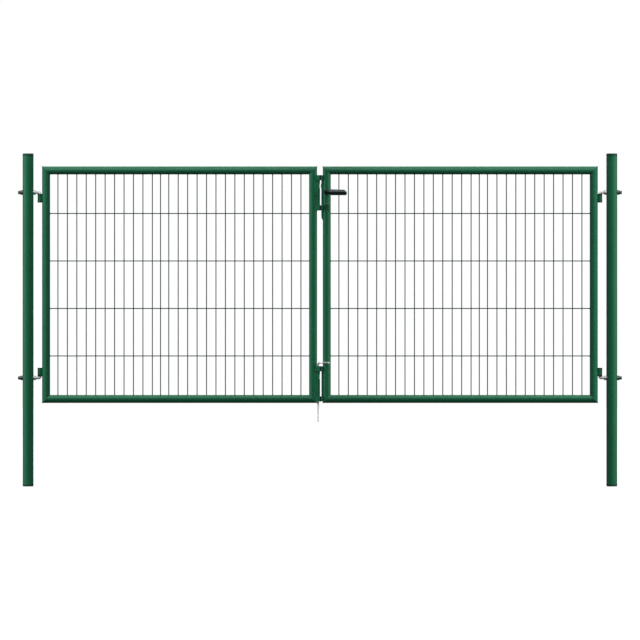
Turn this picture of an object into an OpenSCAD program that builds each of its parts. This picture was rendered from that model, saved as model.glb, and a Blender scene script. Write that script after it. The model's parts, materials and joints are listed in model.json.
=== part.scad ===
// Double garden gate: two tube-framed mesh leaves, hung between two round posts.
// Millimetres. The origin is the centre of the left post's foot, +X runs to the right post,
// -Y is the side that the drop bolt's handle is on, and +Z is up.

/* [Posts] */
// Distance that a post stands above its leaf
post_above_leaf = 68; // [30:1:300]
// Distance between the axes of the two posts
post_spacing = 3060; // [2000:10:4500]
// Outer diameter of a post
post_diameter = 57; // [48:1:76]
// Wall of a post's tube
post_wall = 2; // [1.5:0.5:4]
// Height of the part of a cap or foot that shows
cap_rim = 9; // [4:0.5:15]
// Length of the plug that holds a cap or foot in the post
cap_plug = 18; // [8:1:40]
// Gap all round a plug
plug_clearance = 0.3; // [0.1:0.1:0.6]
// Radius that rounds the outer edge of a cap or foot
cap_rounding = 2.5; // [0.5:0.5:3.5]

/* [Leaves] */
// Height of the leaves' lower edge above the foot
leaf_bottom = 437; // [60:1:500]
// Height of a leaf
leaf_height = 1240; // [1000:10:1260]
// Diameter of the frame's tube
tube_diameter = 42; // [38:1:45]
// Wall of the frame's tube
tube_wall = 1.5; // [1.2:0.1:3]
// Gap between the two closed leaves
centre_gap = 30; // [29:0.5:34]

/* [Mesh] */
// Diameter of a wire
wire_diameter = 6; // [3:0.5:8]
// Distance between most upright wires
wire_pitch = 49.5; // [40:0.5:80]
// Distance from the leaf's outer edge to the odd upright wire
odd_wire_distance = 621; // [300:1:700]
// Distance from the odd upright wire to each of its two neighbours
odd_wire_pitch = 43; // [30:1:60]
// Least distance between a stile and the nearest upright wire
stile_margin = 30; // [10:1:40]
// Distance between level wires
level_pitch = 249; // [100:1:280]
// Least distance between a rail and the nearest level wire
rail_margin = 100; // [20:5:120]
// Share of a wire's diameter that a crossing wire is welded into
weld_share = 0.25; // [0.1:0.05:0.5]

/* [Hinges] */
// Diameter of a hook bolt
hook_diameter = 16; // [12:1:18]
// Distance from a post's axis to the hinge axis
hinge_offset = 62.5; // [60:0.5:90]
// Distance from the upper hook bolt's axis to the leaf's top
top_hinge_inset = 136.5; // [100:0.5:250]
// Distance from the lower hook bolt's axis to the leaf's bottom
bottom_hinge_inset = 131.5; // [100:0.5:250]
// Length of the hook bolt's outer end beyond the post
hook_end = 23.5; // [18:0.5:60]
// Outer diameter of a barrel
barrel_diameter = 25; // [24:1:30]
// Length of a barrel
barrel_length = 44; // [25:1:80]
// Depth that a barrel's side is let into the stile
barrel_seat = 1.5; // [0.5:0.5:3]
// Gap between a barrel's end and the hook bolt
barrel_end_gap = 0.5; // [0.3:0.1:3]
// Gap round a hinge pin in its barrel
pin_clearance = 0.1; // [0.05:0.05:0.1]
// Length by which a hinge pin stops short of the barrel's far end
pin_recess = 2; // [0:0.5:10]
// Width of a nut across its flats
nut_width = 24; // [24:1:30]
// Thickness of a nut
nut_thickness = 12; // [8:0.5:16]
// Gap round a hook bolt in its nuts
nut_clearance = 0.1; // [0.05:0.05:0.1]
// Gap round a hook bolt in the post's holes
post_hole_clearance = 0.5; // [0.2:0.1:1.5]

/* [Centre brackets] */
// Height of a bracket
bracket_height = 185; // [120:1:220]
// Width of a bracket from front to back
bracket_width = 34; // [30:1:38]
// Distance that a bracket stands out from its stile
bracket_stand = 14.3; // [13:0.1:18]
// Thickness of a bracket's sheet
bracket_sheet = 2.5; // [1.5:0.5:3]
// Radius of a bracket's upright edges
bracket_rounding = 5; // [3:0.5:8]
// Height of the solid ends that guide the drop bolt, and of the stop lugs
guide_height = 27; // [12:1:30]
// Distance from the upper bracket's top end to the leaf's top
upper_bracket_drop = 46; // [43:1:100]
// Distance from the lower bracket's bottom end to the leaf's bottom
lower_bracket_rise = 8; // [0:1:60]
// Distance from a bracket's top end to the middle of its latch hole
latch_drop = 56; // [45:1:70]
// Height of the latch hole
latch_hole_height = 25; // [20:1:40]
// Width of the latch hole
latch_hole_width = 16; // [14:1:22]
// Thickness of a stop lug
lug_thickness = 3; // [2:0.5:4]
// Distance that a stop lug reaches past the bracket
lug_reach = 14; // [4:0.5:16]

/* [Drop bolt] */
// Diameter of the drop bolt
bolt_diameter = 10; // [8:0.5:10]
// Height of the drop bolt's lower end, with the bolt down
bolt_bottom = 338; // [0:1:400]
// Gap between the drop bolt and the stile
bolt_side_gap = 0.7; // [0.5:0.1:1]
// Gap round the drop bolt in its guides
bolt_clearance = 0.1; // [0.05:0.05:0.1]
// Gap between the drop bolt's handle and the bracket's top, with the bolt down
handle_gap = 13; // [5:1:40]
// Length of the drop bolt's handle
handle_length = 80; // [50:1:120]
// Angle between the drop bolt's handle and the leaf
handle_angle = 45; // [40:1:60]

/* [Lock] */
// Distance that the lock's plate and the lower strip stand out from their stile
plate_stand = 7; // [5:0.5:8]
// Width of the lock's plate and the lower strip from front to back
plate_width = 24; // [18:1:24]
// Height of the lock's plate
lock_plate_height = 236; // [200:1:300]
// Height of the bevel at the lower end of the lock's plate
plate_bevel = 12; // [4:1:20]
// Distance that the latch bolt stands out of the plate
latch_stand = 3.6; // [2:0.1:3.6]
// Height of the latch bolt
latch_height = 20; // [12:1:24]
// Width of the latch bolt
latch_width = 12; // [8:1:13]
// Length of the latch bolt
latch_length = 24; // [15:1:30]
// Gap over and beside the latch bolt
latch_clearance = 0.4; // [0.2:0.1:1]
// Distance from the leaf's top to the lever's spindle
spindle_drop = 135; // [100:1:160]
// Distance from the spindle to the key cylinder
key_distance = 72; // [60:1:92]
// Diameter of the key cylinder's round part
key_diameter = 17; // [15:0.5:18]
// Width of the key cylinder's straight part
key_tail_width = 10; // [8:0.5:11]
// Height of the key cylinder
key_height = 33; // [28:0.5:34]
// Distance that the key cylinder stands out from the key plate
key_stand = 2; // [0.5:0.5:6]
// Width of a key plate
key_plate_width = 26; // [24:1:30]
// Height of a key plate
key_plate_height = 47; // [42:1:60]
// Thickness of a key plate in front of the stile
key_plate_thickness = 2; // [1.5:0.5:6]
// Gap round the key cylinder in the stile
key_clearance = 0.3; // [0.1:0.1:0.5]

/* [Lever handle] */
// Distance from the spindle to the lever's tip
lever_reach = 105; // [80:1:140]
// Height of the lever's grip
grip_height = 30; // [20:1:34]
// Thickness of the lever's grip
grip_depth = 18; // [12:1:24]
// Gap between the stile and the lever's grip
hand_gap = 36; // [30:1:60]
// Diameter of the lever's neck
neck_diameter = 20; // [16:1:22]
// Length by which the grip's upper edge is shorter at the tip
tip_slant = 10; // [0:1:20]
// Diameter of a rose
rose_diameter = 30; // [28:1:38]
// Thickness of a rose in front of the stile
rose_thickness = 5; // [4:0.5:12]
// Gap between the lever's neck and its rose
neck_clearance = 0.1; // [0.05:0.05:0.1]
// Width of the square spindle
spindle_width = 8; // [7:1:10]
// Gap round the spindle in the back lever
spindle_clearance = 0.1; // [0.05:0.05:0.3]

/* [Hidden] */

$fn = 48;
// Extra length that carries a cut past a surface
cut = 1;
// Sides of a mesh wire
wire_sides = 6;
// Share of the tube's radius that a rose and a key plate reach back round it
saddle_share = 0.4;
// Gap between the tube and the root of the lever's neck
neck_root_gap = 0.5;
// Gap between the spindle's corners and its hole in the stile
spindle_hole_gap = 1;
// Depth of the back lever's square socket beyond its neck's root
socket_depth = 25;

post_height = leaf_bottom + leaf_height + post_above_leaf;
post_radius = post_diameter / 2;
tube_radius = tube_diameter / 2;
hook_radius = hook_diameter / 2;
barrel_radius = barrel_diameter / 2;

// Upright and level limits of the left leaf
leaf_top = leaf_bottom + leaf_height;
leaf_outer = hinge_offset + barrel_radius - barrel_seat;
leaf_inner = post_spacing / 2 - centre_gap / 2;
leaf_width = leaf_inner - leaf_outer;
outer_stile_x = leaf_outer + tube_radius;
inner_stile_x = leaf_inner - tube_radius;

// Heights of the hook bolts' axes
top_hook_z = leaf_top - top_hinge_inset;
bottom_hook_z = leaf_bottom + bottom_hinge_inset;

// Mesh: the upright wires on each side of the odd one, and the level wires
odd_wire_x = leaf_outer + odd_wire_distance;
outer_span = odd_wire_distance - odd_wire_pitch - tube_diameter - stile_margin;
inner_span = leaf_width - odd_wire_distance - odd_wire_pitch - tube_diameter - stile_margin;
outer_wires = floor(outer_span / wire_pitch) + 1;
inner_wires = floor(inner_span / wire_pitch) + 1;
level_wires = floor((leaf_height - 2 * tube_diameter - 2 * rail_margin) / level_pitch) + 1;
first_level_z = leaf_bottom + (leaf_height - (level_wires - 1) * level_pitch) / 2;
level_wire_y = wire_diameter * (1 - weld_share);

// Brackets, plates and the latch hole
bracket_face = leaf_inner + bracket_stand;
upper_bracket_z = leaf_top - upper_bracket_drop - bracket_height;
lower_bracket_z = leaf_bottom + lower_bracket_rise;
latch_z = leaf_top - upper_bracket_drop - latch_drop;
lock_plate_z = leaf_top - upper_bracket_drop - lock_plate_height;
plate_face = post_spacing - leaf_inner - plate_stand;
right_stile_x = post_spacing - inner_stile_x;

// Drop bolt
bolt_x = leaf_inner + bolt_side_gap + bolt_diameter / 2;
handle_z = lower_bracket_z + bracket_height + handle_gap + bolt_diameter / 2;

// Lock and lever
spindle_z = leaf_top - spindle_drop;
key_z = spindle_z - key_distance;
rose_face = tube_radius + rose_thickness;
key_plate_face = tube_radius + key_plate_thickness;
// Depth behind the stile's front that a rose and a key plate reach round the tube
saddle = tube_radius * saddle_share;
grip_back = tube_radius + hand_gap;
grip_front = grip_back + grip_depth;
// Distance from the stile's axis at which the lever's neck begins
neck_root = tube_radius + neck_root_gap;
spindle_hole = spindle_width * sqrt(2) + 2 * spindle_hole_gap;
// Half the height of the grip's back and front faces, and the depth at which the grip is tallest
grip_back_half = grip_height * 0.36;
grip_front_half = grip_height * 0.06;
grip_ridge = grip_back + grip_depth * 0.25;
tip_angle = atan(tip_slant / (grip_height / 2));

paint = [0.12, 0.33, 0.23];
zinc = [0.72, 0.73, 0.74];
dark_coat = [0.20, 0.21, 0.21];
plastic = [0.07, 0.10, 0.10];

// Everything built for the left side, repeated as a mirror image on the right
module other_side() {
    translate([post_spacing, 0, 0]) mirror([1, 0, 0]) children();
}

// A tube along Z
module tube(length, diameter, wall) {
    difference() {
        cylinder(h = length, d = diameter);
        translate([0, 0, -cut]) cylinder(h = length + 2 * cut, d = diameter - 2 * wall);
    }
}

// A rod along X from x1 to x2
module rod_x(x1, x2, diameter) {
    translate([x1, 0, 0]) rotate([0, 90, 0]) cylinder(h = x2 - x1, d = diameter);
}

// A rod along Y from y1 to y2
module rod_y(y1, y2, diameter) {
    translate([0, y2, 0]) rotate([90, 0, 0]) cylinder(h = y2 - y1, d = diameter);
}

// ---- Posts ----

module post() {
    difference() {
        translate([0, 0, cap_rim]) tube(post_height - 2 * cap_rim, post_diameter, post_wall);
        for (z = [bottom_hook_z, top_hook_z])
            translate([0, 0, z])
                rod_x(-post_diameter, post_diameter, hook_diameter + 2 * post_hole_clearance);
    }
}

// Plastic end of a post: a rim with a rounded lower edge, and a plug that stands in the tube
module foot() {
    rotate_extrude() {
        square([post_radius - cap_rounding, cap_rim]);
        translate([0, cap_rounding]) square([post_radius, cap_rim - cap_rounding]);
        translate([post_radius - cap_rounding, cap_rounding]) circle(r = cap_rounding);
    }
    cylinder(h = cap_rim + cap_plug, d = post_diameter - 2 * post_wall - 2 * plug_clearance);
}

// The same piece upside down, at the post's top
module cap() {
    translate([0, 0, post_height]) mirror([0, 0, 1]) foot();
}

// ---- Hinges ----

// Hook bolt: a rod through the post, with its pin bent up (way = 1) or down (way = -1)
module hook_bolt(z, way) {
    pin_length = hook_radius + barrel_end_gap + barrel_length - pin_recess;
    translate([0, 0, z]) {
        rod_x(-post_radius - hook_end, hinge_offset, hook_diameter);
        translate([hinge_offset, 0, 0]) {
            sphere(d = hook_diameter);
            mirror([0, 0, way > 0 ? 0 : 1]) cylinder(h = pin_length, d = hook_diameter);
        }
    }
}

// Nut on a hook bolt, starting at x
module nut(x, z) {
    translate([x, 0, z]) difference() {
        rotate([30, 0, 0]) rotate([0, 90, 0])
            cylinder(h = nut_thickness, d = nut_width / cos(30), $fn = 6);
        rod_x(-cut, nut_thickness + cut, hook_diameter + 2 * nut_clearance);
    }
}

module outer_nut(z) { nut(-post_radius - nut_thickness, z); }

module inner_nut(z) { nut(post_radius, z); }

// Barrel beside the hook bolt at z, let into the outer stile
module barrel(z, way) {
    difference() {
        translate([hinge_offset, 0, z])
            mirror([0, 0, way > 0 ? 0 : 1])
                translate([0, 0, hook_radius + barrel_end_gap])
                    tube(barrel_length, barrel_diameter, barrel_radius - hook_radius - pin_clearance);
        translate([outer_stile_x, 0, leaf_bottom]) cylinder(h = leaf_height, d = tube_diameter);
    }
}

// ---- Leaf frame ----

// Upright tube at x, with mitred ends; its mitres open towards `inward` (1 or -1)
module stile(x, inward) {
    intersection() {
        translate([x, 0, leaf_bottom]) tube(leaf_height, tube_diameter, tube_wall);
        translate([x, tube_diameter, 0]) rotate([90, 0, 0]) linear_extrude(2 * tube_diameter)
            polygon([
                [-inward * tube_radius, leaf_bottom],
                [-inward * tube_radius, leaf_top],
                [inward * tube_radius, leaf_top - tube_diameter],
                [inward * tube_radius, leaf_bottom + tube_diameter]
            ]);
    }
}

// Level tube at z, with mitred ends; its mitres open towards `inward` (1 is up)
module rail(z, inward) {
    intersection() {
        translate([leaf_outer, 0, z]) rotate([0, 90, 0]) tube(leaf_width, tube_diameter, tube_wall);
        translate([0, tube_diameter, z]) rotate([90, 0, 0]) linear_extrude(2 * tube_diameter)
            polygon([
                [leaf_outer, -inward * tube_radius],
                [leaf_inner, -inward * tube_radius],
                [leaf_inner - tube_diameter, inward * tube_radius],
                [leaf_outer + tube_diameter, inward * tube_radius]
            ]);
    }
}

module upright_wire(x) {
    translate([x, 0, leaf_bottom + tube_diameter])
        cylinder(h = leaf_height - 2 * tube_diameter, d = wire_diameter, $fn = wire_sides);
}

module level_wire(z) {
    translate([leaf_outer + tube_diameter, level_wire_y, z]) rotate([0, 90, 0])
        cylinder(h = leaf_width - 2 * tube_diameter, d = wire_diameter, $fn = wire_sides);
}

module mesh() {
    upright_wire(odd_wire_x);
    for (i = [0 : outer_wires - 1]) upright_wire(odd_wire_x - odd_wire_pitch - i * wire_pitch);
    for (i = [0 : inner_wires - 1]) upright_wire(odd_wire_x + odd_wire_pitch + i * wire_pitch);
    for (i = [0 : level_wires - 1]) level_wire(first_level_z + i * level_pitch);
}

// ---- Centre brackets ----

// Plan of a box that stands out from the left leaf's inner stile, with rounded outer edges
module box_plan(face, width, rounding) {
    back = inner_stile_x;
    translate([back, -width / 2]) square([face - rounding - back, width]);
    translate([back, rounding - width / 2]) square([face - back, width - 2 * rounding]);
    for (side = [-1, 1])
        translate([face - rounding, side * (width / 2 - rounding)]) circle(r = rounding);
}

// Bracket on the left leaf's inner stile; with `bored`, its solid ends guide the drop bolt
module bracket(bored) {
    difference() {
        union() {
            difference() {
                linear_extrude(bracket_height) box_plan(bracket_face, bracket_width, bracket_rounding);
                translate([0, 0, guide_height])
                    linear_extrude(bracket_height - 2 * guide_height)
                        box_plan(bracket_face - bracket_sheet, bracket_width - 2 * bracket_sheet,
                                 bracket_rounding - bracket_sheet);
            }
            for (z = [0, bracket_height - guide_height])
                translate([inner_stile_x, -bracket_width / 2 - lug_thickness, z])
                    cube([bracket_face + lug_reach - inner_stile_x, lug_thickness, guide_height]);
        }
        translate([inner_stile_x, 0, -cut])
            cylinder(h = bracket_height + 2 * cut, d = tube_diameter);
        // The sides stop where they meet the widest part of the stile
        translate([inner_stile_x - cut, -bracket_width, -cut])
            cube([tube_radius / 2 + cut, 2 * bracket_width, bracket_height + 2 * cut]);
        if (bored)
            translate([bolt_x, 0, -cut])
                cylinder(h = bracket_height + 2 * cut, d = bolt_diameter + 2 * bolt_clearance);
        translate([leaf_inner, -latch_hole_width / 2,
                   bracket_height - latch_drop - latch_hole_height / 2])
            cube([bracket_stand + cut, latch_hole_width, latch_hole_height]);
    }
}

// ---- Drop bolt ----

module bolt() {
    translate([bolt_x, 0, handle_z]) rotate([0, 0, -handle_angle]) {
        sphere(d = bolt_diameter);
        rod_x(0, handle_length, bolt_diameter);
        mirror([0, 0, 1]) cylinder(h = handle_z - bolt_bottom, d = bolt_diameter);
    }
}

// ---- Lock ----

// Strip that stands out from the right leaf's inner stile; `bevel` slopes its lower end
module strip(z, height, bevel) {
    difference() {
        translate([0, plate_width / 2, z]) rotate([90, 0, 0]) linear_extrude(plate_width)
            polygon([
                [plate_face, bevel], [plate_face, height], [right_stile_x, height],
                [right_stile_x, 0], [plate_face + plate_stand, 0]
            ]);
        translate([right_stile_x, 0, z - cut]) cylinder(h = height + 2 * cut, d = tube_diameter);
    }
}

// Space that the latch bolt passes through: the bolt lies on its lower face
module latch_slot() {
    translate([plate_face - cut, -latch_width / 2 - latch_clearance, latch_z - latch_height / 2])
        cube([latch_length, latch_width + 2 * latch_clearance, latch_height + latch_clearance]);
}

module latch() {
    translate([plate_face - latch_stand, -latch_width / 2, latch_z - latch_height / 2])
        cube([latch_length, latch_width, latch_height]);
}

// Outline of the key cylinder, as a plan that is extruded along Y
module key_outline(clearance) {
    circle(d = key_diameter + 2 * clearance);
    tail = key_height - key_diameter / 2 - key_tail_width / 2;
    translate([-key_tail_width / 2 - clearance, -tail])
        square([key_tail_width + 2 * clearance, tail]);
    translate([0, -tail]) circle(d = key_tail_width + 2 * clearance);
}

// Extrudes a plan along Y, from y1 to y2, at a height on the lock stile
module through_stile(z, y1, y2) {
    translate([right_stile_x, y2, z]) rotate([90, 0, 0]) linear_extrude(y2 - y1) children();
}

module cylinder_body() {
    reach = key_plate_face + key_stand;
    through_stile(key_z, -reach, reach) key_outline(0);
}

// Plate round the key cylinder on the front (side = -1) or back (side = 1) of the stile
module key_plate(side) {
    straight = key_plate_height - key_plate_width;
    middle = -(key_height - key_diameter) / 2;
    difference() {
        through_stile(key_z, side > 0 ? tube_radius - saddle : -key_plate_face,
                      side > 0 ? key_plate_face : saddle - tube_radius)
            difference() {
                translate([0, middle]) {
                    translate([-key_plate_width / 2, -straight / 2])
                        square([key_plate_width, straight]);
                    for (end = [-1, 1]) translate([0, end * straight / 2]) circle(d = key_plate_width);
                }
                key_outline(0);
            }
        translate([right_stile_x, 0, key_z - key_plate_height])
            cylinder(h = 2 * key_plate_height, d = tube_diameter);
    }
}

module lock_stile() {
    difference() {
        other_side() stile(inner_stile_x, -1);
        through_stile(spindle_z, -tube_diameter, tube_diameter) circle(d = spindle_hole);
        through_stile(key_z, -tube_diameter, tube_diameter) key_outline(key_clearance);
        latch_slot();
    }
}

// ---- Lever handle ----

// Rose on the front (side = -1) or back (side = 1) of the stile
module rose(side) {
    difference() {
        through_stile(spindle_z, side > 0 ? tube_radius - saddle : -rose_face,
                      side > 0 ? rose_face : saddle - tube_radius)
            difference() {
                circle(d = rose_diameter);
                circle(d = neck_diameter + 2 * neck_clearance);
            }
        translate([right_stile_x, 0, spindle_z - rose_diameter])
            cylinder(h = 2 * rose_diameter, d = tube_diameter);
    }
}

// Lever that stands out along -Y, without its spindle
module lever() {
    translate([right_stile_x, 0, spindle_z]) {
        rod_y(-grip_back - grip_depth / 2, -neck_root, neck_diameter);
        difference() {
            translate([-neck_diameter / 2, 0, 0]) rotate([90, 0, 90])
                linear_extrude(lever_reach + neck_diameter / 2)
                    polygon([
                        [-grip_back, -grip_back_half],
                        [-grip_ridge, -grip_height / 2],
                        [-grip_front, -grip_front_half],
                        [-grip_front, grip_front_half],
                        [-grip_ridge, grip_height / 2],
                        [-grip_back, grip_back_half]
                    ]);
            translate([lever_reach, -grip_front - cut, 0])
                rotate([0, -tip_angle, 0])
                    cube([2 * tip_slant + cut, grip_depth + 2 * cut, grip_height * 2]);
        }
    }
}

module spindle(clearance, y1, y2) {
    width = spindle_width + 2 * clearance;
    translate([right_stile_x, 0, spindle_z])
        translate([-width / 2, y1, -width / 2]) cube([width, y2 - y1, width]);
}

module left_post() { color(paint) post(); }
module left_post_cap() { color(plastic) cap(); }
module left_post_foot() { color(plastic) foot(); }
module right_post() { color(paint) other_side() post(); }
module right_post_cap() { color(plastic) other_side() cap(); }
module right_post_foot() { color(plastic) other_side() foot(); }

module left_top_hinge_pin() { color(zinc) hook_bolt(top_hook_z, -1); }
module left_top_outer_nut() { color(dark_coat) outer_nut(top_hook_z); }
module left_top_inner_nut() { color(zinc) inner_nut(top_hook_z); }
module left_bottom_hinge_pin() { color(zinc) hook_bolt(bottom_hook_z, 1); }
module left_bottom_outer_nut() { color(dark_coat) outer_nut(bottom_hook_z); }
module left_bottom_inner_nut() { color(zinc) inner_nut(bottom_hook_z); }
module right_top_hinge_pin() { color(zinc) other_side() hook_bolt(top_hook_z, -1); }
module right_top_outer_nut() { color(dark_coat) other_side() outer_nut(top_hook_z); }
module right_top_inner_nut() { color(zinc) other_side() inner_nut(top_hook_z); }
module right_bottom_hinge_pin() { color(zinc) other_side() hook_bolt(bottom_hook_z, 1); }
module right_bottom_outer_nut() { color(dark_coat) other_side() outer_nut(bottom_hook_z); }
module right_bottom_inner_nut() { color(zinc) other_side() inner_nut(bottom_hook_z); }

module left_outer_stile() { color(paint) stile(outer_stile_x, 1); }
module left_inner_stile() { color(paint) stile(inner_stile_x, -1); }
module left_top_rail() { color(paint) rail(leaf_top - tube_radius, -1); }
module left_bottom_rail() { color(paint) rail(leaf_bottom + tube_radius, 1); }
module left_mesh() { color(paint) mesh(); }
module left_top_barrel() { color(paint) barrel(top_hook_z, -1); }
module left_bottom_barrel() { color(paint) barrel(bottom_hook_z, 1); }
module latch_keeper() { color(paint) translate([0, 0, upper_bracket_z]) bracket(false); }
module bolt_guide() { color(paint) translate([0, 0, lower_bracket_z]) bracket(true); }
module drop_bolt() { color(zinc) bolt(); }

module right_outer_stile() { color(paint) other_side() stile(outer_stile_x, 1); }
module right_inner_stile() { color(paint) lock_stile(); }
module right_top_rail() { color(paint) other_side() rail(leaf_top - tube_radius, -1); }
module right_bottom_rail() { color(paint) other_side() rail(leaf_bottom + tube_radius, 1); }
module right_mesh() { color(paint) other_side() mesh(); }
module right_top_barrel() { color(paint) other_side() barrel(top_hook_z, -1); }
module right_bottom_barrel() { color(paint) other_side() barrel(bottom_hook_z, 1); }
module lock_plate() {
    color(paint) difference() {
        strip(lock_plate_z, lock_plate_height, plate_bevel);
        latch_slot();
    }
}
module lower_strip() { color(paint) strip(lower_bracket_z, bracket_height, 0); }
module latch_bolt() { color(zinc) latch(); }
module key_cylinder() { color(dark_coat) cylinder_body(); }
module front_key_plate() { color(paint) key_plate(-1); }
module back_key_plate() { color(paint) key_plate(1); }
module front_rose() { color(plastic) rose(-1); }
module back_rose() { color(plastic) rose(1); }
module front_lever() {
    color(plastic) {
        lever();
        spindle(0, -neck_root - cut, neck_root + socket_depth);
    }
}
module back_lever() {
    color(plastic) difference() {
        mirror([0, 1, 0]) lever();
        spindle(spindle_clearance, 0, neck_root + socket_depth + spindle_clearance);
    }
}

left_post();
left_post_cap();
left_post_foot();
right_post();
right_post_cap();
right_post_foot();
left_top_hinge_pin();
left_top_outer_nut();
left_top_inner_nut();
left_bottom_hinge_pin();
left_bottom_outer_nut();
left_bottom_inner_nut();
right_top_hinge_pin();
right_top_outer_nut();
right_top_inner_nut();
right_bottom_hinge_pin();
right_bottom_outer_nut();
right_bottom_inner_nut();
left_outer_stile();
left_inner_stile();
left_top_rail();
left_bottom_rail();
left_mesh();
left_top_barrel();
left_bottom_barrel();
latch_keeper();
bolt_guide();
drop_bolt();
right_outer_stile();
right_inner_stile();
right_top_rail();
right_bottom_rail();
right_mesh();
right_top_barrel();
right_bottom_barrel();
lock_plate();
lower_strip();
latch_bolt();
key_cylinder();
front_key_plate();
back_key_plate();
front_rose();
back_rose();
front_lever();
back_lever();
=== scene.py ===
"""Dresses the double garden gate: wires, welds, threads, lock fittings, finishes and the stage."""

import json
from math import pi, radians

import bpy
import numpy as np
from bpy.props import FloatProperty, FloatVectorProperty, IntProperty, PointerProperty
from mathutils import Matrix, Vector


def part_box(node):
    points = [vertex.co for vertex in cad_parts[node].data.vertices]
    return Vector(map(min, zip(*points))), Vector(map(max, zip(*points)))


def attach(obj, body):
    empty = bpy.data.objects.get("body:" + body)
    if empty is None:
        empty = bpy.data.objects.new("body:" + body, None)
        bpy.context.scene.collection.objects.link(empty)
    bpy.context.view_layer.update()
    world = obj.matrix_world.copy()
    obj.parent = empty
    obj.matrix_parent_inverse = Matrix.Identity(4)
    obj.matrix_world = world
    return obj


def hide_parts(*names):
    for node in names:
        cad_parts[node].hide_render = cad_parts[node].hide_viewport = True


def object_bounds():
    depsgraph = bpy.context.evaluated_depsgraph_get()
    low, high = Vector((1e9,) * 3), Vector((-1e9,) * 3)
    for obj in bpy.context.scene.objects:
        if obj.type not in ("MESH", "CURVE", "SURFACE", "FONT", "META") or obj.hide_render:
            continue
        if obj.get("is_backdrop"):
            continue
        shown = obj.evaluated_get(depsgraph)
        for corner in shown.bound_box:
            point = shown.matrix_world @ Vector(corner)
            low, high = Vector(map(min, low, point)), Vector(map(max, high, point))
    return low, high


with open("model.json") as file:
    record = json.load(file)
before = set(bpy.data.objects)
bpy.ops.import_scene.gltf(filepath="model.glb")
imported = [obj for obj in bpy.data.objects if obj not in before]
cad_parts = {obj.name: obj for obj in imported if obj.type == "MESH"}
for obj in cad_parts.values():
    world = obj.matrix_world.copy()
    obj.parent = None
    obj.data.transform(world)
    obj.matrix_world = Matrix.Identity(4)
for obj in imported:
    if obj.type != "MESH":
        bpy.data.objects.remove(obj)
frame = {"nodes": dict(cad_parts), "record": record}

bl_info = {
    "name": "Double garden gate",
    "version": (1, 0, 0),
    "blender": (4, 5, 0),
    "location": "3D View > Sidebar > Gate",
    "description": "Adds the gate's wires, welds, threads, lock fittings and finishes",
    "category": "Object",
}

# Direction along X from each post to the gate's middle, and along Y to each face of the gate
SIDES = {"left": 1, "right": -1}
FACES = {"front": -1, "back": 1}
BRACKETS = {"left": ("latch_keeper", "bolt_guide"), "right": ("lock_plate", "lower_strip")}
X, Y, Z = np.eye(3)


# ---- Sizes and colours ----

def length(name, description, default):
    """A property that holds a length in metres."""
    return FloatProperty(name=name, description=description, default=default, min=0.0,
                         precision=5, unit="LENGTH")


def colour(name, description, default):
    """A property that holds a linear colour."""
    return FloatVectorProperty(name=name, description=description, default=default, size=3,
                               min=0.0, max=1.0, subtype="COLOR")


class GateSizes(bpy.types.PropertyGroup):
    """Sizes of the details that the solids leave out."""
    wire_sides: IntProperty(name="Wire sides", description="Sides of a mesh wire",
                            default=12, min=6, max=24)
    wire_flare: length("Wire flare", "Width that a weld adds to a wire's end", 0.0014)
    nugget: length("Crossing weld", "Half the width of the weld where two wires cross", 0.0036)
    bead: length("Weld bead", "Half the width of a weld bead on the frame", 0.0024)
    bead_run: length("Bead run", "Length of one weld bead on a bracket or plate", 0.04)
    ripple: length("Ripple", "Length of one ripple in a weld bead", 0.0032)
    thread_pitch: length("Thread pitch", "Distance between the turns of a hook bolt's thread",
                         0.002)
    thread_depth: length("Thread depth", "Depth of a hook bolt's thread", 0.0011)
    thread_end: length("Outer thread", "Length of the thread at a hook bolt's outer end", 0.0125)
    bolt_bend: length("Drop bolt bend", "Radius of the drop bolt's bend at its axis", 0.0125)
    lever_bend: length("Lever bend", "Radius of the lever's bend at its axis", 0.015)
    lip: length("Cap lip", "Width that the lip of a cap or foot stands out", 0.0006)
    # The bush is a near-black ring at each barrel end, painted shade for the barrel's dark ends.
    bush: length("Barrel bush", "Length of the bush that shows at a barrel's end", 0.0048)
    # The brackets' edge strips and lug sleeves are near-black, painted shade where the edge turns
    # away and in the gaps round the lugs.
    seal: length("Seal", "Thickness of the brackets' edge seal and of the lugs' sleeves", 0.0011)
    sleeve: length("Lug sleeve", "Length of the rubber sleeve round a stop lug", 0.006)
    faceplate: length("Faceplate", "Half the width of the lock's faceplate", 0.010)
    face_screw: length("Faceplate screw", "Radius of a screw head on the faceplate", 0.0036)
    oval_screw: length("Key plate screw", "Radius of a screw head on a key plate", 0.0022)


class GateColours(bpy.types.PropertyGroup):
    """Colours of the gate's finishes."""
    coating: colour("Coating", "Green powder coating of the posts and frames",
                    (0.0095, 0.094, 0.044))
    # Painted shade: a darker, greyer copy of the frame's green coating, for the shade on the thin
    # mesh wires.
    wires: colour("Wires", "Coating of the mesh wires", (0.007, 0.040, 0.028))
    zinc: colour("Zinc", "Galvanised hook bolts and drop bolt", (0.66, 0.67, 0.68))
    # Painted shade: a darker copy of the zinc, for the inner nuts that sit in the shade next to
    # the posts.
    shaded_zinc: colour("Shaded zinc", "Galvanised inner nuts", (0.42, 0.43, 0.43))
    steel: colour("Steel", "Bare steel of the lock's working parts", (0.55, 0.55, 0.54))
    dark: colour("Dark metal", "Dark coating of the outer nuts", (0.045, 0.055, 0.052))
    cylinder: colour("Key cylinder", "Dark coating of the key cylinder", (0.014, 0.058, 0.034))
    cap: colour("Cap", "Plastic of the post caps and feet", (0.010, 0.043, 0.028))
    plastic: colour("Lever", "Plastic of the levers and roses", (0.011, 0.028, 0.026))
    # Painted shade: near-black for the barrels' ends, the brackets' edges, the gaps round the lugs
    # and the keyway, where shade falls.
    shade_black: colour("Rubber", "Rubber of the seals, sleeves and bushes", (0.004, 0.005, 0.005))


# ---- Meshes ----

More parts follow.
